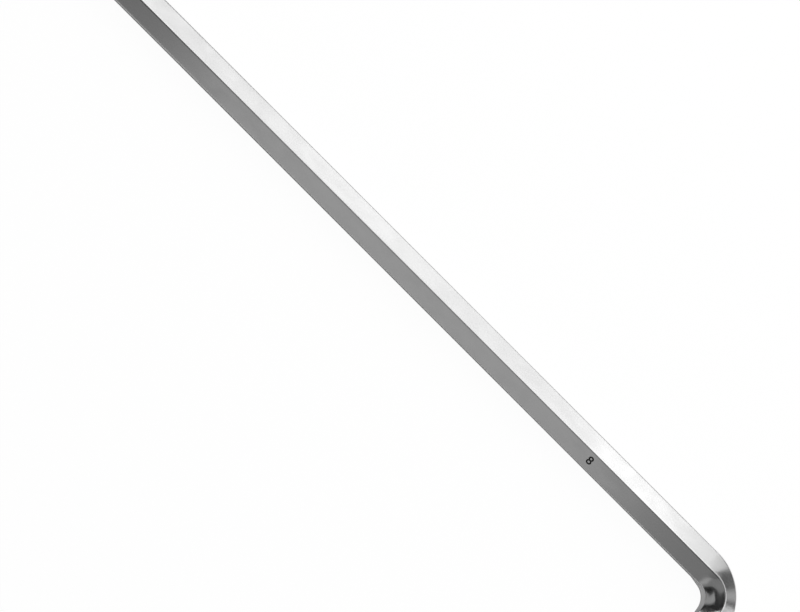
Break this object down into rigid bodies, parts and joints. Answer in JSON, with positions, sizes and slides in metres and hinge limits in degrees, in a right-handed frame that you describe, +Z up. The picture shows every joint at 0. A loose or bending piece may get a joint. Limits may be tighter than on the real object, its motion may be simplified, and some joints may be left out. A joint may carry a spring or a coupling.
{
  "type": "hex key",
  "caption": "Extra-long hexagonal key for socket-head screws: a straight hexagonal steel bar bent square into a long arm and a short arm, with plain chamfered ends.",
  "frame": {"origin": "on the ground under the middle of the key's box, with the key lying flat on its arms' bottom edges", "axes": "+X along the long arm towards the bend, the short arm points along -Y from the bend, +Z up, square to the plane of the bend"},
  "size_m": [0.208, 0.044, 0.0091],
  "materials": {
    "bright_chrome": "satin"
  },
  "bodies": {
    "root": {"hex_key": "bright_chrome"}
  },
  "joints": []
}
